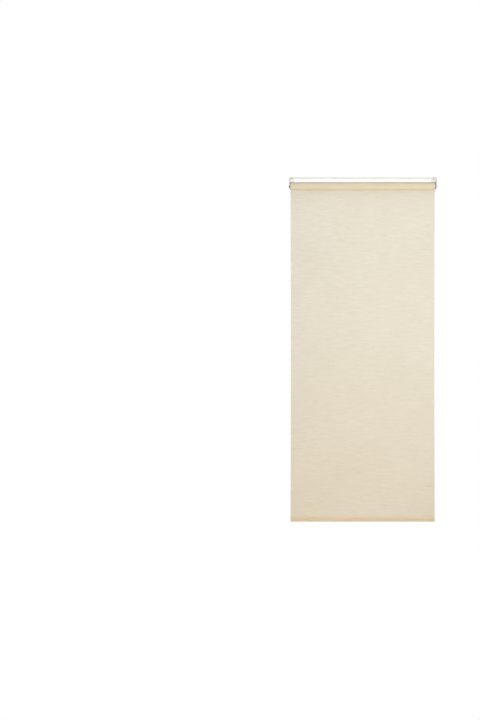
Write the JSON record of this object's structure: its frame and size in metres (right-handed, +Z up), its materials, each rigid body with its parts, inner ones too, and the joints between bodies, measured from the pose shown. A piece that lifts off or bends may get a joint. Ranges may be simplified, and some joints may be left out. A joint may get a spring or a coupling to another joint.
{
  "type": "roll-up blind",
  "caption": "Jute roll-up blind: woven cloth on a spring roller between two end brackets under a slim head rail, with a slat in the hem.",
  "frame": {"origin": "middle of the head rail's top face, between the two ceiling screw holes", "axes": "+X along the rail to the right as seen from the room, +Y from the room to the wall, +Z up"},
  "size_m": [0.6154, 0.0486, 1.43],
  "materials": {
    "white_coat": "satin white powder coat",
    "jute": "plain weave of slubby natural yarn",
    "bare_aluminium": "mill finish extrusion",
    "grey_plastic": "moulded grey",
    "strip_plastic": "extruded white",
    "steel": "zinc plated"
  },
  "bodies": {
    "frame": {"head_rail": "white_coat", "left_bracket": "white_coat", "right_bracket": "white_coat", "ratchet_wheel": "steel", "spade_pin": "steel", "spring_rod": "steel", "lift_spring": "steel", "cloth_panel": "jute"},
    "roller": {"roller_tube": "bare_aluminium", "cloth_strip": "strip_plastic", "cloth_roll": "jute", "idle_plug": "grey_plastic", "pin_retainer": "grey_plastic", "pin_spring": "steel", "spring_cap": "grey_plastic", "pawl_rivets": "steel", "spring_anchor": "grey_plastic"},
    "idle_pin": {"idle_pin": "steel"},
    "upper_pawl": {"upper_pawl": "steel"},
    "lower_pawl": {"lower_pawl": "steel"},
    "bottom_bar": {"bottom_bar": "bare_aluminium", "hem": "jute"}
  },
  "joints": [
    {"name": "bar_lift", "type": "slide", "parent": "frame", "child": "bottom_bar", "axis": [0, 0, 1], "range_m": [0, 1.291], "deforming": ["cloth_panel"]},
    {"name": "roller_spin", "type": "hinge", "parent": "frame", "child": "roller", "pos_m": [0, 0, -0.0365], "axis": [1, 0, 0], "range_deg": [0, 3240]},
    {"name": "idle_pin_press", "type": "slide", "parent": "roller", "child": "idle_pin", "axis": [1, 0, 0], "range_m": [0, 0.006], "stiffness_N_per_m": 250, "springref_m": -0.006, "deforming": ["pin_spring"]},
    {"name": "upper_pawl_swing", "type": "hinge", "parent": "roller", "child": "upper_pawl", "pos_m": [0.295, 0.00802, -0.0316], "axis": [1, 0, 0], "range_deg": [0, 15]},
    {"name": "lower_pawl_swing", "type": "hinge", "parent": "roller", "child": "lower_pawl", "pos_m": [0.295, -0.00802, -0.0414], "axis": [1, 0, 0], "range_deg": [0, 15]}
  ],
  "couplings": [
    {"joint": "roller_spin", "follows": "bar_lift", "rad_per_m": 43.802}
  ]
}
